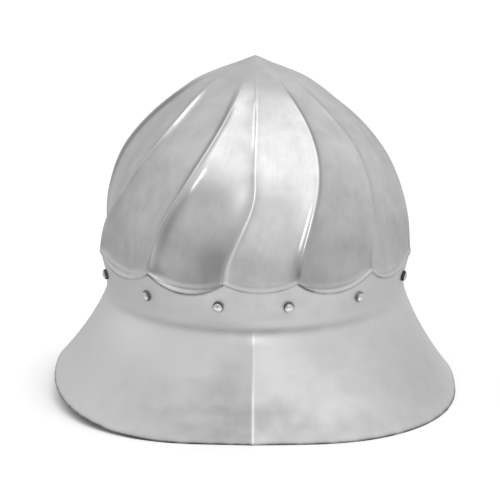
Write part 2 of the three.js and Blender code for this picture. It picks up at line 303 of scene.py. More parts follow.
def scallop_height():
    return RIDGE_FOOT_HEIGHT - table_column(FLUTES, "sag", flute_number) * (1 - off_centre ** SCALLOP_POWER)


def collar_half_width(height):
    return section_curve(COLLAR_SECTIONS, "half_width", np.maximum(height, CREASE_HEIGHT))


def ribbon_share(height):
    return 1 - smooth_step(height, SWING_END, RIBBON_START)


def off_crest(height):
    """Distance across the crown from the nearest crest, or from the edge of the ribbon that it ends in."""
    distance = (1 - off_centre) * section_curve(CROWN_SECTIONS, "half_width", height) * HALF_FLUTE
    ribbon = table_column(RIDGES, "ribbon", nearest_ridge) * ribbon_share(height)
    return np.clip(distance - ribbon, 0, None)


def crown_skin(height, crest_share, crest_spread, crest_round, lip_share):
    """Crown down to just under its lip: the floors of the flutes, the ridges that stand up between them,
    the scooped heel of each flute and the lip that it is drawn out to."""
    ridge_line = section_curve(CROWN_SECTIONS, "half_width", height)
    rounded = np.sqrt(off_crest(height) ** 2 + crest_round ** 2) - crest_round
    spread = crest_spread * table_column(RIDGES, "spread", nearest_ridge)
    stand = FLUTE_DEPTH * crest_share * table_column(RIDGES, "stand", nearest_ridge)
    ends = table_column(RIDGES, "ends", nearest_ridge)
    crest = stand * np.exp(-rounded / spread) * (1 - smooth_step(height, ends - CREST_FADE, ends))
    depth = FLUTE_DEPTH * (1 - smooth_step(height, FLUTE_FULL, FLUTE_TOP))
    foot = scallop_height()
    above = height - foot
    up_heel = np.clip(above, 0, None) / HEEL_HEIGHT
    scooped = up_heel * np.exp(1 - up_heel) * (1 - off_centre ** HEEL_POWER)
    heel = table_column(FLUTES, "heel", flute_number) * scooped
    fluted = ridge_line - depth * (1 - (1 - CREST_SHARE) * off_centre ** 2) + crest - heel
    drawn_out = (1 - np.clip(above / table_column(FLUTES, "drawn", flute_number), 0, 1)) ** 2
    half_width = between(fluted, collar_half_width(np.minimum(height, foot)), drawn_out)
    lip = smooth_step(above, LIP_UNDER, LIP_EDGE) * (1 - smooth_step(above, LIP_EDGE, LIP_BACK))
    half_width = half_width + lip_share * table_column(FLUTES, "lip", flute_number) * lip
    points = plan_points(flute_angle(height), half_width, half_width * LENGTH_TO_WIDTH, ELLIPSE, height)
    points[..., 0] += section_curve(CROWN_SECTIONS, "lean", height)
    return points


def skirt_skin(height):
    """Collar and brim, down to the edge at height 0, with the soft crease where the sheet turns out
    between them and the keel that starts just below it."""
    start = scallop_height() - LIP_BELOW
    turned = smooth_step(start - height, 0, start - CREASE_HEIGHT)
    degrees = between(flute_angle(SWING_END), brim_angle(), turned)
    down = (CREASE_HEIGHT - height) / CREASE_HEIGHT
    softened = down + np.sqrt(down ** 2 + CREASE_SOFTNESS ** 2)
    out = softened / (1 + math.sqrt(1 + CREASE_SOFTNESS ** 2))
    flare = BRIM_STRAIGHTNESS * out + (1 - BRIM_STRAIGHTNESS) * out ** 2
    collar = collar_half_width(height)
    sideways = np.sin(np.radians(degrees))
    forward = np.cos(np.radians(degrees))
    brim_length = np.where(forward > 0, BRIM_FRONT_LENGTH, BRIM_BACK_LENGTH)
    half_width = between(collar, BRIM_HALF_WIDTH, flare)
    half_length = between(collar * LENGTH_TO_WIDTH, brim_length, flare)
    from_midline = np.degrees(np.arcsin(np.clip(np.abs(sideways), 0, 1)))
    rise = EDGE_RISE * smooth_step(from_midline, EDGE_RISE_START, EDGE_RISE_FULL) * (sideways < 0)
    lifted = height + rise * np.clip(down, 0, 1)
    points = plan_points(degrees, half_width, half_length, between(ELLIPSE, BRIM_SQUARENESS, out), lifted)
    off_keel = np.abs(degrees)
    keel = np.clip(1 - off_keel / KEEL_SPREAD, 0, 1) ** 2
    flattened = 1 - smooth_step(off_keel, 0, FRONT_FLAT_SPREAD)
    points[..., 1] += FRONT_FLATTENED * flattened * smooth_step(out, 0, FRONT_FLAT_FULL)
    points[..., 1] -= KEEL_PROUD * keel * smooth_step(out, KEEL_START, KEEL_FULL)
    return points


def crown_heights(rows, lowest):
    """Heights of rows from the tip down, closest together under the tip."""
    dip = np.cos(math.pi / 2 * np.arange(rows) / rows)[:, None]
    return between(lowest, APEX_HEIGHT, dip)


def spaced_heights(rows, highest, lowest):
    share = (np.arange(rows) / rows)[:, None]
    return between(highest, lowest, share)


foot_line = scallop_height()
collar_start = foot_line - LIP_BELOW
edge_line = np.zeros(COLUMNS + 1)

# Outside of the sheet, from the tip down to the edge
crown_rows = crown_heights(CROWN_ROWS, foot_line + LIP_ABOVE)
lip_rows = spaced_heights(LIP_ROWS, foot_line + LIP_ABOVE, collar_start)
collar_rows = spaced_heights(COLLAR_ROWS, collar_start, edge_line + CREASE_HEIGHT)
brim_rows = spaced_heights(BRIM_ROWS, edge_line + CREASE_HEIGHT, edge_line)
upper_heights = np.concatenate([crown_rows, lip_rows])
last_rows = np.stack([edge_line + EDGE_BAND, edge_line])
lower_heights = np.concatenate([collar_rows, brim_rows, last_rows])
outside = np.concatenate([
    crown_skin(upper_heights, CREST_SHARE, CREST_SPREAD, CREST_ROUND, lip_share=1),
    skirt_skin(lower_heights),
])
outside_heights = np.concatenate([upper_heights, lower_heights])

# Inside of the sheet, from the edge up to the tip: a softer skin moved in by the wall, its edge cut level
NO_LENGTH = 1e-9
inner_upper = crown_heights(INSIDE_CROWN_ROWS, collar_start)
inner_lower = np.concatenate([
    spaced_heights(INSIDE_COLLAR_ROWS, collar_start, edge_line + CREASE_HEIGHT),
    spaced_heights(INSIDE_BRIM_ROWS, edge_line + CREASE_HEIGHT, edge_line),
    edge_line[None, :],
])
soft_skin = np.concatenate([
    crown_skin(inner_upper, INSIDE_CREST_SHARE, INSIDE_CREST_SPREAD, INSIDE_CREST_ROUND, lip_share=0),
    skirt_skin(inner_lower),
])
round_step = np.roll(soft_skin[:, :-1], -1, axis=1) - np.roll(soft_skin[:, :-1], 1, axis=1)
round_step = np.concatenate([round_step, round_step[:, :1]], axis=1)
outward = np.cross(np.gradient(soft_skin, axis=0), round_step)
outward /= np.maximum(np.linalg.norm(outward, axis=-1, keepdims=True), NO_LENGTH)
inside = soft_skin - WALL * outward
level = outward[-1] * [1, 1, 0]
inside[-1] = soft_skin[-1] - WALL * level / np.sum(level ** 2, axis=-1, keepdims=True)
inside[0] = [0, 0, APEX_HEIGHT - APEX_WALL]
inside = inside[::-1]

# Marks on the outside, each a share from 0 to 1 at every crossing of the sheet's lines; several are painted
# shade and painted highlight
above_foot = outside_heights - foot_line
from_crest = off_crest(outside_heights)
degrees_round = brim_angle()
down_brim = np.clip(1 - outside_heights / CREASE_HEIGHT, 0, 1)
left_of_keel = degrees_round < 0

# Painted shade lies in the step under the lip and along the roll of the lip, both uneven round the helmet,
# and at the feet of the ridges, with a painted shadow along the bottom of the edge
STEP_MIDDLE = -0.5
STEP_WIDTH = 0.8
ROLL_RISE = 3.2
ROLL_WIDTH = 0.45
FOOT_MIDDLE = 8.0
FOOT_HEIGHT = 6.0
FOOT_WIDTH = 1.6
EDGE_SHADOW = 1.0
EDGE_SHADOW_HEIGHT = 1.0
SHADE_MEAN = 0.65
SHADE_SWING = 0.35
SHADE_WAVE = 0.37
SHADE_SLOW_WAVE = 0.11
SHADE_SLOW_START = 1.0
slow_wave = np.sin(columns * SHADE_SLOW_WAVE + SHADE_SLOW_START)
uneven_round = SHADE_MEAN + SHADE_SWING * np.sin(columns * SHADE_WAVE) * slow_wave
step_shade = table_column(FLUTES, "shade", flute_number) * band(above_foot, STEP_MIDDLE, STEP_WIDTH)
roll_line = ROLL_RISE * (1 - off_centre ** 2)
roll_shade = table_column(FLUTES, "rolled", flute_number) * band(above_foot, roll_line, ROLL_WIDTH)
foot_shade = table_column(RIDGES, "shade", nearest_ridge) * band(from_crest, 0, FOOT_WIDTH)
foot_shade = foot_shade * band(above_foot, FOOT_MIDDLE, FOOT_HEIGHT)
edge_shadow = EDGE_SHADOW * band(outside_heights, 0, EDGE_SHADOW_HEIGHT)
# Together these are painted shade and painted shadow, kept in the mesh as a mark
painted_shade = (step_shade + roll_shade) * uneven_round + edge_shadow + foot_shade
painted_shade = np.clip(painted_shade, 0, 1)

# Painted shade, which also leaves the metal a little rougher, darkens it beside the crests, in the lower
# corners of some flutes and in the crease at the front, and in patches on the brim that end at the keel
SHADE_FROM_CREST = 0.7
SHADE_WIDTH = 0.5
SHADE_LOW = 10.0
SHADE_FULL = 90.0
SHADE_FADES = 205.0
SHADE_ENDS = 222.0
CORNER_SHARE = 0.4
CORNER_MIDDLE = 10.0
CORNER_HEIGHT = 26.0
CREASE_SHADE = 0.3
CREASE_DROP = 1.4
CREASE_WIDTH = 2.4
CREASE_SPREAD = 42.0
SHADE_PATCH_TOP = 0.25
# Patches of painted shade on the brim
PAINTED_SHADE_PATCHES = [
    {"degrees": -12.0, "spread": 24.0, "down": 0.68, "length": 0.33, "darkened": 0.29},
    {"degrees": 3.0, "spread": 9.0, "down": 0.72, "length": 0.26, "darkened": 0.13},
    {"degrees": -8.0, "spread": 24.0, "down": 0.94, "length": 0.14, "darkened": 0.20},
    {"degrees": 10.0, "spread": 28.0, "down": 0.93, "length": 0.14, "darkened": 0.11},
    {"degrees": 60.0, "spread": 30.0, "down": 0.70, "length": 0.50, "darkened": 0.15},
    {"degrees": 150.0, "spread": 35.0, "down": 0.80, "length": 0.30, "darkened": 0.20},
    {"degrees": -115.0, "spread": 25.0, "down": 0.60, "length": 0.40, "darkened": 0.15},
]
beside_crest = np.where(
    across_flute < HALF_WAY,
    table_column(RIDGES, "shade_right", nearest_ridge),
    table_column(RIDGES, "shade_left", nearest_ridge))
share_from_crest = from_crest / table_column(RIDGES, "spread", nearest_ridge)
crest_shade = beside_crest * band(share_from_crest, SHADE_FROM_CREST, SHADE_WIDTH)
crest_shade = crest_shade * smooth_step(above_foot, SHADE_LOW, SHADE_FULL)
crest_shade = crest_shade * (1 - smooth_step(outside_heights, SHADE_FADES, SHADE_ENDS))
left_corner = table_column(FLUTES, "left_corner", flute_number) * band(across_flute, 0, CORNER_SHARE)
right_corner = table_column(FLUTES, "right_corner", flute_number) * band(across_flute, 1, CORNER_SHARE)
up_corner = band(above_foot, CORNER_MIDDLE, CORNER_HEIGHT) * (above_foot > 0)
corner_shade = (left_corner + right_corner) * up_corner
round_front = band(degrees_round, 0, CREASE_SPREAD)
in_crease = band(outside_heights, CREASE_HEIGHT - CREASE_DROP, CREASE_WIDTH)
crease_shade = CREASE_SHADE * round_front * in_crease


def brim_patch(patch, top):
    """Share of a soft patch on the brim that keeps to its side of the keel and fades out at the crease."""
    same_side = left_of_keel == (patch["degrees"] < 0)
    around = same_side * band(degrees_round, patch["degrees"], patch["spread"])
    return around * smooth_step(down_brim, 0, top) * band(down_brim, patch["down"], patch["length"])


# Together these are painted shade, kept in the mesh as a mark that darkens the metal
darkened = crest_shade + corner_shade + crease_shade
for patch in PAINTED_SHADE_PATCHES:
    darkened = darkened + patch["darkened"] * brim_patch(patch, SHADE_PATCH_TOP)
darkened = np.clip(darkened, 0, 1)

# Wear and painted highlight brighten the crests and the keel, and painted highlight the roll of the lip, the
# band above the crease and patches high on the brim, all glossier too; the collar and brim keep a plainer
# satin
HIGHLIGHT_WIDTH = 0.9
HIGHLIGHT_LOW = 4.0
HIGHLIGHT_FULL = 30.0
HIGHLIGHT_FADES = 205.0
HIGHLIGHT_ENDS = 228.0
ROLL_HIGHLIGHT = 0.7
ROLL_HIGHLIGHT_RISE = 2.0
ROLL_HIGHLIGHT_WIDTH = 1.3
ROLL_HIGHLIGHT_POWER = 4
KEEL_HIGHLIGHT = 0.9
HIGHLIGHT_PATCH_TOP = 0.1
DEGREE_LENGTH = 2.7
CREASE_HIGHLIGHT = 0.35
CREASE_HIGHLIGHT_RISE = 3.0
# Patches of painted highlight on the brim
PAINTED_HIGHLIGHT_PATCHES = [
    {"degrees": 4.0, "spread": 10.0, "down": 0.25, "length": 0.24, "wear_and_highlight": 0.7},
    {"degrees": -50.0, "spread": 24.0, "down": 0.15, "length": 0.25, "wear_and_highlight": 0.9},
    {"degrees": 130.0, "spread": 30.0, "down": 0.20, "length": 0.25, "wear_and_highlight": 0.7},
]
SATIN_FULL = 0.5
SATIN_ENDS = 4.0
on_crown = smooth_step(above_foot, HIGHLIGHT_LOW, HIGHLIGHT_FULL)
on_crown = on_crown * (1 - smooth_step(outside_heights, HIGHLIGHT_FADES, HIGHLIGHT_ENDS))
has_ribbon = table_column(RIDGES, "ribbon", nearest_ridge) > 0
on_ribbon = has_ribbon * (above_foot > 0) * ribbon_share(outside_heights)
crest_line = np.maximum(table_column(RIDGES, "wear_and_highlight", nearest_ridge) * on_crown, on_ribbon)
crest_wear_and_highlight = crest_line * band(from_crest, 0, HIGHLIGHT_WIDTH)
over_roll = band(above_foot, roll_line + ROLL_HIGHLIGHT_RISE, ROLL_HIGHLIGHT_WIDTH)
over_roll = over_roll * (1 - off_centre ** ROLL_HIGHLIGHT_POWER)
roll_highlight = ROLL_HIGHLIGHT * table_column(FLUTES, "lip", flute_number) * over_roll
on_keel = band(degrees_round * DEGREE_LENGTH, 0, HIGHLIGHT_WIDTH)
keel_highlight = KEEL_HIGHLIGHT * on_keel * smooth_step(down_brim, 0, HIGHLIGHT_PATCH_TOP)
above_crease = band(outside_heights, CREASE_HEIGHT + CREASE_HIGHLIGHT_RISE, CREASE_WIDTH)
crease_highlight = CREASE_HIGHLIGHT * round_front * above_crease
# Together these are wear and painted highlight, kept in the mesh as a mark that brightens the metal
wear_and_highlight = crest_wear_and_highlight + roll_highlight + keel_highlight + crease_highlight
for patch in PAINTED_HIGHLIGHT_PATCHES:
    wear_and_highlight = wear_and_highlight + patch["wear_and_highlight"] * brim_patch(patch, HIGHLIGHT_PATCH_TOP)
wear_and_highlight = np.clip(wear_and_highlight, 0, 1)
satin = 1 - smooth_step(above_foot, SATIN_FULL, SATIN_ENDS)

none_inside = np.zeros(inside.shape[:2])
none_outside = np.zeros(outside.shape[:2])
surface_marks = {
    "painted_shade": np.concatenate([painted_shade, none_inside]),
    "darkened": np.concatenate([darkened, none_inside]),
    "wear_and_highlight": np.concatenate([wear_and_highlight, none_inside]),
    "satin": np.concatenate([satin, none_inside + 1]),
    "inside": np.concatenate([none_outside, none_inside + 1]),
}

HAMMER_SPREAD = 34.0
HAMMER_DEPTH = 0.16
HAMMER_FINER = 2.3
HAMMER_FINE_SHARE = 0.5
HAMMER_CENTRE = Vector((0, 0, 80))
EDGE_KEPT_TRUE = 25.0


def hammered(point):
    """The outside as the hammer left it, a little uneven, with the edge kept true."""
    place = Vector(point)
    broad = noise.noise(place / HAMMER_SPREAD)
    fine = noise.noise(place * HAMMER_FINER / HAMMER_SPREAD)
    uneven = broad + HAMMER_FINE_SHARE * fine
    kept = min(1.0, max(0.0, point[2] / EDGE_KEPT_TRUE))
    return place + (place - HAMMER_CENTRE).normalized() * uneven * HAMMER_DEPTH * kept


# A flat grid is laid over the outside and the inside in turn; its map keeps lengths near those of the sheet
HALF_GRID = 0.5
AROUND_LENGTH = 0.72
DOWN_LENGTH = 0.62
MERGE = 1e-7
sheet_rows = np.concatenate([outside, inside])
row_count = len(sheet_rows)
outside_count = len(outside)
shell_bmesh = bmesh.new()
bmesh.ops.create_grid(
    shell_bmesh, x_segments=COLUMNS, y_segments=row_count - 1, size=HALF_GRID, calc_uvs=True)
shell_uv = shell_bmesh.loops.layers.uv.verify()
mark_layers = {name: shell_bmesh.verts.layers.float.new(name) for name in surface_marks}
for vert in shell_bmesh.verts:
    column = round((vert.co.x + HALF_GRID) * COLUMNS)
    row = round((HALF_GRID - vert.co.y) * (row_count - 1))
    for loop in vert.link_loops:
        loop[shell_uv].uv = (AROUND_LENGTH * column / COLUMNS, DOWN_LENGTH * row / row_count)
    for name, layer in mark_layers.items():
        vert[layer] = surface_marks[name][row, column]
    point = sheet_rows[row, column]
    place = hammered(point) if row < outside_count - 1 else Vector(point)
    vert.co = place * MILLIMETRE
bmesh.ops.remove_doubles(shell_bmesh, verts=shell_bmesh.verts[:], dist=MERGE)

# The cut edge is filed round along both its corners, where the outside and the inside meet the level cut
RIM_ROUND = 0.5
RIM_STEPS = 2
inside_mark = mark_layers["inside"]


def lies_inside(vert):
    return round(vert[inside_mark])


rim_faces = [face for face in shell_bmesh.faces if {lies_inside(vert) for vert in face.verts} == {0, 1}]
rim_edges = [
    edge for face in rim_faces for edge in face.edges
    if lies_inside(edge.verts[0]) == lies_inside(edge.verts[1])
]
bmesh.ops.bevel(
    shell_bmesh, geom=rim_edges, offset=RIM_ROUND * MILLIMETRE, offset_type="OFFSET", segments=RIM_STEPS,
    profile=0.5, affect="EDGES", material=-1)
bmesh.ops.recalc_face_normals(shell_bmesh, faces=shell_bmesh.faces[:])
for face in shell_bmesh.faces:
    face.smooth = True


def finished_piece(name, work, material, node):
    """A bmesh as an object of the helmet, in place of one node of the frame."""
    mesh = bpy.data.meshes.new(name)
    work.to_mesh(mesh)
    work.free()
    mesh.materials.append(material)
    piece = bpy.data.objects.new(name, mesh)
    bpy.context.scene.collection.objects.link(piece)
    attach(piece, "root")
    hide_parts(node)


# Noise of the polish: broad clouds, smaller patches, marks that run down the flutes and marks that run round
# the collar and brim, with the share of each in the tone, the gloss and the fine relief
BROAD_SCALE = 16.0
BROAD_DETAIL = 3.0
PATCH_SCALE = 80.0
PATCH_DETAIL = 6.0
DOWN_STRETCH = (700.0, 60.0, 1.0)
DOWN_DETAIL = 3.0
ROUND_STRETCH = (14.0, 14.0, 90.0)
ROUND_DETAIL = 4.0
STRETCHED_SCALE = 1.0
BROAD_IN_TONE = 0.6
PATCHES_IN_TONE = 0.44
SCRATCHES_IN_TONE = 0.14
CLOUDY_IN_GLOSS = 0.85
SCRATCHES_IN_GLOSS = 0.2
PATCHES_IN_RELIEF = 0.88
SCRATCHES_IN_RELIEF = 0.12

# The stretch of noise that each effect runs over, and how far the effect goes there
NONE_TO_ALL = (0.0, 1.0)
TONE_NOISE = (0.48, 0.70)
BLACK_NOISE = (0.35, 0.65)
SHADE_NOISE = (0.3, 0.6)
SHADE_SHARES = (0.55, 1.0)
GLOSS_NOISE = (0.46, 0.74)
GLOSS_SHARES = (0.8, 1.22)
HIGHLIGHT_SMOOTHER = (1.0, 0.45)
SHADE_ROUGHER = 0.3

# Colours that the marks bring to the metal, among them the near white of painted highlight and the near
# black of painted shade
SATIN_SHARE = 0.75
SATIN_PALE = (0.87, 0.87, 0.87, 1)
HIGHLIGHT_WHITE = (0.98, 0.98, 0.98, 1)
HAMMER_BLACK = (0.23, 0.22, 0.21, 1)
HAMMER_GREY = (0.33, 0.315, 0.3, 1)
SHADE_BLACK = (0.05, 0.047, 0.045, 1)

# Numbers of the colour sockets on a mix node
MIX_FIRST = 6
MIX_SECOND = 7
MIX_RESULT = 2


def hand_polish_group():
    """Steel polished by hand: cloudy tone, uneven gloss and fine scratches along the flow of the polish,
    with painted highlight and painted shade laid on from the marks.
    """
    group = bpy.data.node_groups.new("hand_polish", "ShaderNodeTree")
    for name, kind, side in (
        ("Flow", "NodeSocketVector", "INPUT"),
        ("Bright", "NodeSocketColor", "INPUT"),
        ("Dull", "NodeSocketColor", "INPUT"),
        ("Painted Shade", "NodeSocketFloat", "INPUT"),
        ("Painted Shade Patches", "NodeSocketFloat", "INPUT"),
        ("Wear And Highlight", "NodeSocketFloat", "INPUT"),
        ("Satin", "NodeSocketFloat", "INPUT"),
        ("Unpolished", "NodeSocketFloat", "INPUT"),
        ("Gloss", "NodeSocketFloat", "INPUT"),
        ("Satin Roughness", "NodeSocketFloat", "INPUT"),
        ("Tone", "NodeSocketColor", "OUTPUT"),
        ("Roughness", "NodeSocketFloat", "OUTPUT"),
        ("Height", "NodeSocketFloat", "OUTPUT"),
    ):
        group.interface.new_socket(name=name, in_out=side, socket_type=kind)
    nodes = group.nodes
    links = group.links
    given = nodes.new("NodeGroupInput").outputs
    result = nodes.new("NodeGroupOutput").inputs
    place = nodes.new("ShaderNodeTexCoord").outputs["Object"]

    def cloud(source, scale, detail):
        texture = nodes.new("ShaderNodeTexNoise")
        texture.inputs["Scale"].default_value = scale
        texture.inputs["Detail"].default_value = detail
        links.new(source, texture.inputs["Vector"])
        return texture.outputs["Fac"]

    def stretched(source, stretch, detail):
        mapping = nodes.new("ShaderNodeMapping")
        mapping.inputs["Scale"].default_value = stretch
        links.new(source, mapping.inputs["Vector"])
        return cloud(mapping.outputs["Vector"], STRETCHED_SCALE, detail)

    def spread(value, limits, shares):
        ranged = nodes.new("ShaderNodeMapRange")
        ranged.inputs["From Min"].default_value = limits[0]
        ranged.inputs["From Max"].default_value = limits[1]
        ranged.inputs["To Min"].default_value = shares[0]
        ranged.inputs["To Max"].default_value = shares[1]
        links.new(value, ranged.inputs["Value"])
        return ranged.outputs["Result"]

    def combine(kind, first, second):
        figure = nodes.new("ShaderNodeMath")
        figure.operation = kind
        for number, value in enumerate((first, second)):
            if isinstance(value, float):
                figure.inputs[number].default_value = value
            else:
                links.new(value, figure.inputs[number])
        return figure.outputs["Value"]

    def weighed_sum(first, first_share, second, second_share):
        first_part = combine("MULTIPLY", first, first_share)
        second_part = combine("MULTIPLY", second, second_share)
        return combine("ADD", first_part, second_part)

    def blend_values(share, first, second):
        mix = nodes.new("ShaderNodeMix")
        links.new(share, mix.inputs["Factor"])
        links.new(first, mix.inputs["A"])
        links.new(second, mix.inputs["B"])
        return mix.outputs["Result"]

    def blend_colours(share, first, second):
        mix = nodes.new("ShaderNodeMix")
        mix.data_type = "RGBA"
        links.new(share, mix.inputs["Factor"])
        for number, value in ((MIX_FIRST, first), (MIX_SECOND, second)):
            if isinstance(value, tuple):
                mix.inputs[number].default_value = value
            else:
                links.new(value, mix.inputs[number])
        return mix.outputs[MIX_RESULT]

    broad = cloud(place, BROAD_SCALE, BROAD_DETAIL)
    patches = cloud(place, PATCH_SCALE, PATCH_DETAIL)
    down_marks = stretched(given["Flow"], DOWN_STRETCH, DOWN_DETAIL)
    round_marks = stretched(place, ROUND_STRETCH, ROUND_DETAIL)
    scratches = blend_values(given["Satin"], down_marks, round_marks)
    cloudy = weighed_sum(broad, BROAD_IN_TONE, patches, PATCHES_IN_TONE)
    cloudy = combine("ADD", cloudy, combine("MULTIPLY", scratches, SCRATCHES_IN_TONE))

    tone = blend_colours(spread(cloudy, TONE_NOISE, NONE_TO_ALL), given["Bright"], given["Dull"])
    tone = blend_colours(combine("MULTIPLY", given["Satin"], SATIN_SHARE), tone, SATIN_PALE)
    unpolished = blend_colours(spread(patches, BLACK_NOISE, NONE_TO_ALL), HAMMER_BLACK, HAMMER_GREY)
    tone = blend_colours(given["Unpolished"], tone, unpolished)
    # Painted highlight, with wear, turns the tone near white
    tone = blend_colours(given["Wear And Highlight"], tone, HIGHLIGHT_WHITE)
    # Painted shade from both marks turns the tone near black and a little rougher
    shaded = combine("MULTIPLY", given["Painted Shade"], spread(patches, SHADE_NOISE, SHADE_SHARES))
    shaded = combine("ADD", shaded, given["Painted Shade Patches"])
    links.new(blend_colours(shaded, tone, SHADE_BLACK), result["Tone"])

    finish = blend_values(given["Satin"], given["Gloss"], given["Satin Roughness"])
    uneven = weighed_sum(cloudy, CLOUDY_IN_GLOSS, scratches, SCRATCHES_IN_GLOSS)
    rough = combine("MULTIPLY", finish, spread(uneven, GLOSS_NOISE, GLOSS_SHARES))
    rough = combine("MULTIPLY", rough, spread(given["Wear And Highlight"], NONE_TO_ALL, HIGHLIGHT_SMOOTHER))
    rough = combine("ADD", rough, combine("MULTIPLY", shaded, SHADE_ROUGHER))
    links.new(rough, result["Roughness"])

    relief = weighed_sum(scratches, SCRATCHES_IN_RELIEF, patches, PATCHES_IN_RELIEF)
    links.new(relief, result["Height"])
    return group


hand_polish = hand_polish_group()
RELIEF_DEPTH = 0.4


def polished_steel(name, bright, darkened, gloss, satin_roughness, bump):
    """A steel of its own from the shared polish; returns the material, its nodes and the placed polish."""
    material = bpy.data.materials.new(name)
    material.use_nodes = True
    tree = material.node_tree
    shader = tree.nodes["Principled BSDF"]
    shader.inputs["Metallic"].default_value = 1.0
    polish = tree.nodes.new("ShaderNodeGroup")
    polish.node_tree = hand_polish
    polish.inputs["Bright"].default_value = bright
    polish.inputs["Dull"].default_value = darkened
    polish.inputs["Gloss"].default_value = gloss
    polish.inputs["Satin Roughness"].default_value = satin_roughness
    raised = tree.nodes.new("ShaderNodeBump")
    raised.inputs["Strength"].default_value = bump
    raised.inputs["Distance"].default_value = RELIEF_DEPTH * MILLIMETRE
    tree.links.new(polish.outputs["Height"], raised.inputs["Height"])
    tree.links.new(raised.outputs["Normal"], shader.inputs["Normal"])
    tree.links.new(polish.outputs["Tone"], shader.inputs["Base Color"])
    tree.links.new(polish.outputs["Roughness"], shader.inputs["Roughness"])
    return material, tree, polish


def read_mark(tree, polish, mark, socket):
    """Let one of the marks kept in the mesh drive a socket of the polish."""
    reader = tree.nodes.new("ShaderNodeAttribute")
    reader.attribute_name = mark
    tree.links.new(reader.outputs["Fac"], polish.inputs[socket])


shell_steel, shell_tree, shell_polish = polished_steel(
    "satin_helmet_steel", bright=(0.77, 0.77, 0.775, 1), darkened=(0.635, 0.635, 0.64, 1), gloss=0.19,
    satin_roughness=0.6, bump=0.05)
flow_uv = shell_tree.nodes.new("ShaderNodeUVMap")
shell_tree.links.new(flow_uv.outputs["UV"], shell_polish.inputs["Flow"])
read_mark(shell_tree, shell_polish, "painted_shade", "Painted Shade")
read_mark(shell_tree, shell_polish, "darkened", "Painted Shade Patches")
read_mark(shell_tree, shell_polish, "wear_and_highlight", "Wear And Highlight")
read_mark(shell_tree, shell_polish, "satin", "Satin")
read_mark(shell_tree, shell_polish, "inside", "Unpolished")

finished_piece("helmet_skin", shell_bmesh, shell_steel, "helmet_shell")

# Lining rivets
# Twelve steel rivets through the collar, one under the foot of each ridge, for the lining band inside.
# Each has a polished dome, near black with painted shade on its sides, and a tail hammered over inside the
# sheet.
RIVET_HEIGHT = 84.0
HEAD_RADIUS = 3.7
HEAD_SIDE = 1.2
HEAD_TOP = 3.4
TAIL_RADIUS = 3.0
SHANK_RADIUS = 2.0
SEAT_GAP = 0.12
SHADE_TOP = 2.2
RIVET_STEPS = 28
RIVET_MERGE = 1e-4
SEAT_STEP = 1.0
RIVET_TAIL = -WALL - SEAT_GAP
RIVET_PROFILE = [
    {"radius": 0.0, "out": RIVET_TAIL - 1.0},
    {"radius": 1.7, "out": RIVET_TAIL - 0.95},
    {"radius": 2.7, "out": RIVET_TAIL - 0.6},
    {"radius": TAIL_RADIUS, "out": RIVET_TAIL - 0.2},
    {"radius": 2.8, "out": RIVET_TAIL},
    {"radius": SHANK_RADIUS, "out": RIVET_TAIL},
    {"radius": SHANK_RADIUS, "out": SEAT_GAP},
    {"radius": 3.1, "out": SEAT_GAP},
    {"radius": 3.55, "out": 0.5},
    {"radius": HEAD_RADIUS, "out": HEAD_SIDE},
    {"radius": 3.6, "out": 1.65},
    {"radius": 3.3, "out": 2.15},
    {"radius": 2.85, "out": 2.6},
    {"radius": 2.25, "out": 2.95},
    {"radius": 1.6, "out": 3.2},
    {"radius": 0.8, "out": 3.35},
    {"radius": 0.0, "out": HEAD_TOP},
]


def collar_place(degrees, height):
    half_width = collar_half_width(np.array(height))
    return Vector(plan_points(degrees, half_width, half_width * LENGTH_TO_WIDTH, ELLIPSE, height))


def rivet_seat(degrees):
    """Place and direction of a rivet in metres: on the collar's outside, square to it."""
    point = collar_place(degrees, RIVET_HEIGHT)
    before = collar_place(degrees - SEAT_STEP, RIVET_HEIGHT)
    after = collar_place(degrees + SEAT_STEP, RIVET_HEIGHT)
    below = collar_place(degrees, RIVET_HEIGHT - SEAT_STEP)
    above = collar_place(degrees, RIVET_HEIGHT + SEAT_STEP)
    around = after - before
    up = above - below
    turn = around.cross(up).to_track_quat("Z", "Y").to_matrix().to_4x4()
    return Matrix.Scale(MILLIMETRE, 4) @ Matrix.Translation(point) @ turn


rivet_steel, rivet_tree, rivet_polish = polished_steel(
    "polished_rivet_steel", bright=(0.95, 0.95, 0.95, 1), darkened=(0.82, 0.82, 0.825, 1), gloss=0.16,
    satin_roughness=0.28, bump=0.1)
rivet_place = rivet_tree.nodes.new("ShaderNodeTexCoord")
rivet_tree.links.new(rivet_place.outputs["Object"], rivet_polish.inputs["Flow"])
# The rivet's painted shade, near black on the sides of each head, darkens the polish
read_mark(rivet_tree, rivet_polish, "scale", "Painted Shade")

for ridge in RIDGES:
    rivet_bmesh = bmesh.new()
    shade_layer = rivet_bmesh.verts.layers.float.new("scale")
    outline = [rivet_bmesh.verts.new((step["radius"], 0, step["out"])) for step in RIVET_PROFILE]
    profile_edges = [rivet_bmesh.edges.new(pair) for pair in zip(outline, outline[1:])]
    bmesh.ops.spin(
        rivet_bmesh, geom=outline + profile_edges, cent=(0, 0, 0), axis=(0, 0, 1), angle=2 * math.pi,
        steps=RIVET_STEPS, use_merge=True)
    bmesh.ops.remove_doubles(rivet_bmesh, verts=rivet_bmesh.verts[:], dist=RIVET_MERGE)
    bmesh.ops.recalc_face_normals(rivet_bmesh, faces=rivet_bmesh.faces[:])
    # Painted shade on every part of the rivet below the upper dome
    for vert in rivet_bmesh.verts:
        vert[shade_layer] = 1.0 if vert.co.z < SHADE_TOP else 0.0
    for face in rivet_bmesh.faces:
        face.smooth = True
    bmesh.ops.transform(rivet_bmesh, matrix=rivet_seat(ridge["rivet"]), verts=rivet_bmesh.verts[:])
    finished_piece(ridge["node"] + "_head", rivet_bmesh, rivet_steel, ridge["node"])

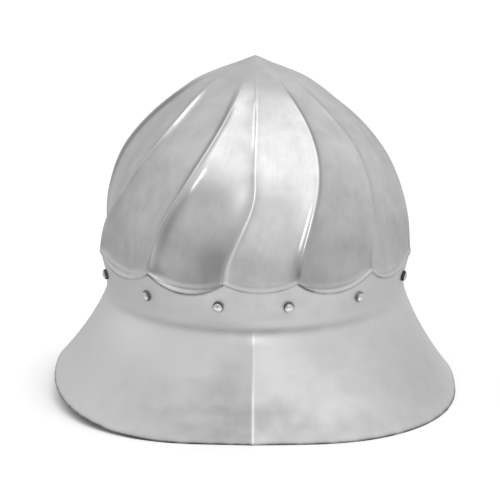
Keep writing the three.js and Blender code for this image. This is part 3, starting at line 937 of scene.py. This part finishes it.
# Floor
# The plain pale floor that the helmet stands on, wide enough to be all that shows behind it.
# It is painted on its top only, so that the helmet's hollow can be looked into from below.
FLOOR_HALF = 12.0
FLOOR_STEPS = 8
FLOOR_TONE = (0.9, 0.9, 0.9, 1)
FLOOR_ROUGHNESS = 0.9
FLOOR_SHINE = 0.1
MIX_TOP = 1
MIX_UNDERSIDE = 2
floor_bmesh = bmesh.new()
bmesh.ops.create_grid(floor_bmesh, x_segments=FLOOR_STEPS, y_segments=FLOOR_STEPS, size=FLOOR_HALF)
floor_mesh = bpy.data.meshes.new("floor")
floor_bmesh.to_mesh(floor_mesh)
floor_bmesh.free()
floor_paint = bpy.data.materials.new("pale_floor")
floor_paint.use_nodes = True
floor_tree = floor_paint.node_tree
floor_shader = floor_tree.nodes["Principled BSDF"]
floor_shader.inputs["Base Color"].default_value = FLOOR_TONE
floor_shader.inputs["Roughness"].default_value = FLOOR_ROUGHNESS
floor_shader.inputs["Specular IOR Level"].default_value = FLOOR_SHINE
floor_side = floor_tree.nodes.new("ShaderNodeNewGeometry")
floor_clear = floor_tree.nodes.new("ShaderNodeBsdfTransparent")
floor_mix = floor_tree.nodes.new("ShaderNodeMixShader")
floor_tree.links.new(floor_side.outputs["Backfacing"], floor_mix.inputs["Fac"])
floor_tree.links.new(floor_shader.outputs["BSDF"], floor_mix.inputs[MIX_TOP])
floor_tree.links.new(floor_clear.outputs["BSDF"], floor_mix.inputs[MIX_UNDERSIDE])
floor_tree.links.new(floor_mix.outputs["Shader"], floor_tree.nodes["Material Output"].inputs["Surface"])
floor_mesh.materials.append(floor_paint)
floor = bpy.data.objects.new("floor", floor_mesh)
bpy.context.scene.collection.objects.link(floor)

# Studio light
# A plain pale room, brightened softly by a skylight and a front window and dimmed by a doorway and a wall.
# Two narrow soft boxes draw the bright streaks on the flutes, and a wash from above lights the floor alone.
SOFT_BOXES = [
    {"name": "front_strip", "place": (-0.31, -0.81, 0.76), "aim": (0.03, -0.11, 0.13), "width": 0.12,
     "height": 0.4, "power": 0.3, "reflected": True},
    {"name": "shoulder_strip", "place": (-0.306, 0.042, 0.875), "aim": (-0.05, -0.03, 0.195), "width": 0.32,
     "height": 0.05, "power": 0.075, "reflected": True},
    {"name": "floor_wash", "place": (0, 0.6, 3.0), "aim": (0, 0.6, 0), "width": 6.0, "height": 6.0,
     "power": 70.0, "reflected": False},
]
for box in SOFT_BOXES:
    light = bpy.data.lights.new(box["name"], "AREA")
    light.shape = "RECTANGLE"
    light.size = box["width"]
    light.size_y = box["height"]
    light.energy = box["power"]
    lamp = bpy.data.objects.new(box["name"], light)
    lamp.location = box["place"]
    towards = Vector(box["aim"]) - Vector(box["place"])
    lamp.rotation_euler = towards.to_track_quat("-Z", "Y").to_euler()
    lamp.visible_camera = False
    lamp.visible_glossy = box["reflected"]
    bpy.context.scene.collection.objects.link(lamp)
# The steel mirrors the room's own tones low down in place of the floor
floor.visible_glossy = False

# How bright the room is in front and behind by the height of the direction, from straight down to straight
# up, and where along its depth and its width the one side passes into the other
STRAIGHT_DOWN = -1.0
ROOM_TONES = [
    {"height": -1.00, "front": 0.95, "back": 0.45},
    {"height": -0.60, "front": 0.86, "back": 0.49},
    {"height": -0.30, "front": 0.62, "back": 0.51},
    {"height": -0.04, "front": 0.54, "back": 0.55},
    {"height": 0.12, "front": 0.58, "back": 0.62},
    {"height": 0.42, "front": 0.64, "back": 0.66},
    {"height": 0.64, "front": 0.66, "back": 0.74},
    {"height": 1.00, "front": 0.68, "back": 0.68},
]
FRONT_TO_BACK = (-0.35, 0.45)
LEFT_TO_RIGHT = (-0.5, 0.3)
SIDE_SHARES = (0.95, 1.07)

# Brighter and darker places in the room, each strongest in its middle and fading out all round
ROOM_PATCHES = [
    {"name": "skylight", "aim": (0.07, -0.20, 0.98), "reach": 47.0, "core": 10.0, "tone": 0.57},
    {"name": "front_window", "aim": (0.20, -0.90, 0.37), "reach": 34.0, "core": 8.0, "tone": 0.13},
    {"name": "dark_wall", "aim": (0.95, -0.30, -0.05), "reach": 35.0, "core": 10.0, "tone": -0.07},
    {"name": "dark_doorway", "aim": (-0.40, -0.90, -0.08), "reach": 38.0, "core": 8.0, "tone": -0.16},
]
room = bpy.data.worlds.new("studio_room")
room.use_nodes = True
bpy.context.scene.world = room
room_nodes = room.node_tree.nodes
room_links = room.node_tree.links
direction = room_nodes.new("ShaderNodeTexCoord")
parts = room_nodes.new("ShaderNodeSeparateXYZ")
room_links.new(direction.outputs["Generated"], parts.inputs["Vector"])


def room_range(value, limits, tones):
    ranged = room_nodes.new("ShaderNodeMapRange")
    ranged.interpolation_type = "SMOOTHSTEP"
    ranged.inputs["From Min"].default_value = limits[0]
    ranged.inputs["From Max"].default_value = limits[1]
    ranged.inputs["To Min"].default_value = tones[0]
    ranged.inputs["To Max"].default_value = tones[1]
    room_links.new(value, ranged.inputs["Value"])
    return ranged.outputs["Result"]


def room_ramp(side):
    lift = room_nodes.new("ShaderNodeMapRange")
    lift.inputs["From Min"].default_value = STRAIGHT_DOWN
    room_links.new(parts.outputs["Z"], lift.inputs["Value"])
    ramp = room_nodes.new("ShaderNodeValToRGB")
    while len(ramp.color_ramp.elements) < len(ROOM_TONES):
        ramp.color_ramp.elements.new(HALF_WAY)
    for element, tone in zip(ramp.color_ramp.elements, ROOM_TONES):
        element.position = HALF_WAY + HALF_WAY * tone["height"]
        element.color = (tone[side], tone[side], tone[side], 1)
    room_links.new(lift.outputs["Result"], ramp.inputs["Fac"])
    return ramp.outputs["Color"]


room_mix = room_nodes.new("ShaderNodeMix")
room_mix.data_type = "RGBA"
room_links.new(room_range(parts.outputs["Y"], FRONT_TO_BACK, NONE_TO_ALL), room_mix.inputs["Factor"])
room_links.new(room_ramp("front"), room_mix.inputs[MIX_FIRST])
room_links.new(room_ramp("back"), room_mix.inputs[MIX_SECOND])
room_light = room_mix.outputs[MIX_RESULT]
for patch in ROOM_PATCHES:
    off_patch = room_nodes.new("ShaderNodeVectorMath")
    off_patch.label = patch["name"]
    off_patch.operation = "DOT_PRODUCT"
    off_patch.inputs[1].default_value = Vector(patch["aim"]).normalized()
    room_links.new(direction.outputs["Generated"], off_patch.inputs[0])
    edge = math.cos(math.radians(patch["reach"]))
    core = math.cos(math.radians(patch["core"]))
    patch_light = room_range(off_patch.outputs["Value"], (edge, core), (0.0, patch["tone"]))
    added = room_nodes.new("ShaderNodeVectorMath")
    added.operation = "ADD"
    room_links.new(room_light, added.inputs[0])
    room_links.new(patch_light, added.inputs[1])
    room_light = added.outputs["Vector"]
room_links.new(room_light, room_nodes["Background"].inputs["Color"])
side_share = room_range(parts.outputs["X"], LEFT_TO_RIGHT, SIDE_SHARES)
room_links.new(side_share, room_nodes["Background"].inputs["Strength"])
bpy.context.scene.view_settings.view_transform = "Standard"

# Camera
# Set where the photograph was taken from: a long lens a little above the brim, in front of the keel.
VIEW_DISTANCE = 2.0
VIEW_LIFT = math.radians(13.5)
VIEW_TURN = math.radians(0.76)
VIEW_TARGET = Vector((-0.00375, 0, 0.094))
LENS = 206.4
SENSOR_WIDTH = 36.0
FARTHEST_SEEN = 100.0
camera_data = bpy.data.cameras.new("photo_camera")
camera_data.lens = LENS
camera_data.sensor_width = SENSOR_WIDTH
camera_data.clip_end = FARTHEST_SEEN
camera = bpy.data.objects.new("photo_camera", camera_data)
turn = Matrix.Rotation(VIEW_TURN, 4, "Z")
back = turn @ Vector((0, -math.cos(VIEW_LIFT), math.sin(VIEW_LIFT)))
camera.location = turn @ VIEW_TARGET + back * VIEW_DISTANCE
camera.rotation_euler = back.to_track_quat("Z", "Y").to_euler()
bpy.context.scene.collection.objects.link(camera)
bpy.context.scene.camera = camera
